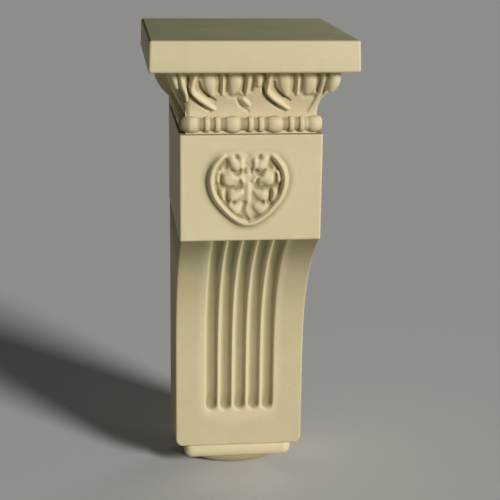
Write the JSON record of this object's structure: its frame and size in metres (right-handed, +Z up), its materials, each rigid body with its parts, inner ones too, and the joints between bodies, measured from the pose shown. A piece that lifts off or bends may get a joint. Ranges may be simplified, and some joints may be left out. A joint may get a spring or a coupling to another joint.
{
  "type": "decorative wall bracket",
  "caption": "Cast plaster corbel with a slab top, a leaf band, beads and reels, a heart of scrolls on its block, and a fluted shaft that sweeps in to a rounded foot",
  "frame": {"origin": "the middle of the wall face, on the bracket's centre line", "axes": "+Z up along the shaft, +Y into the wall, so the carved front faces -Y, and +X to the right as seen from the wall"},
  "size_m": [0.1298, 0.1419, 0.3172],
  "materials": {
    "plaster": "cream cast plaster, matt, slightly soft at its edges"
  },
  "bodies": {
    "root": {"bracket": "plaster"}
  },
  "joints": []
}
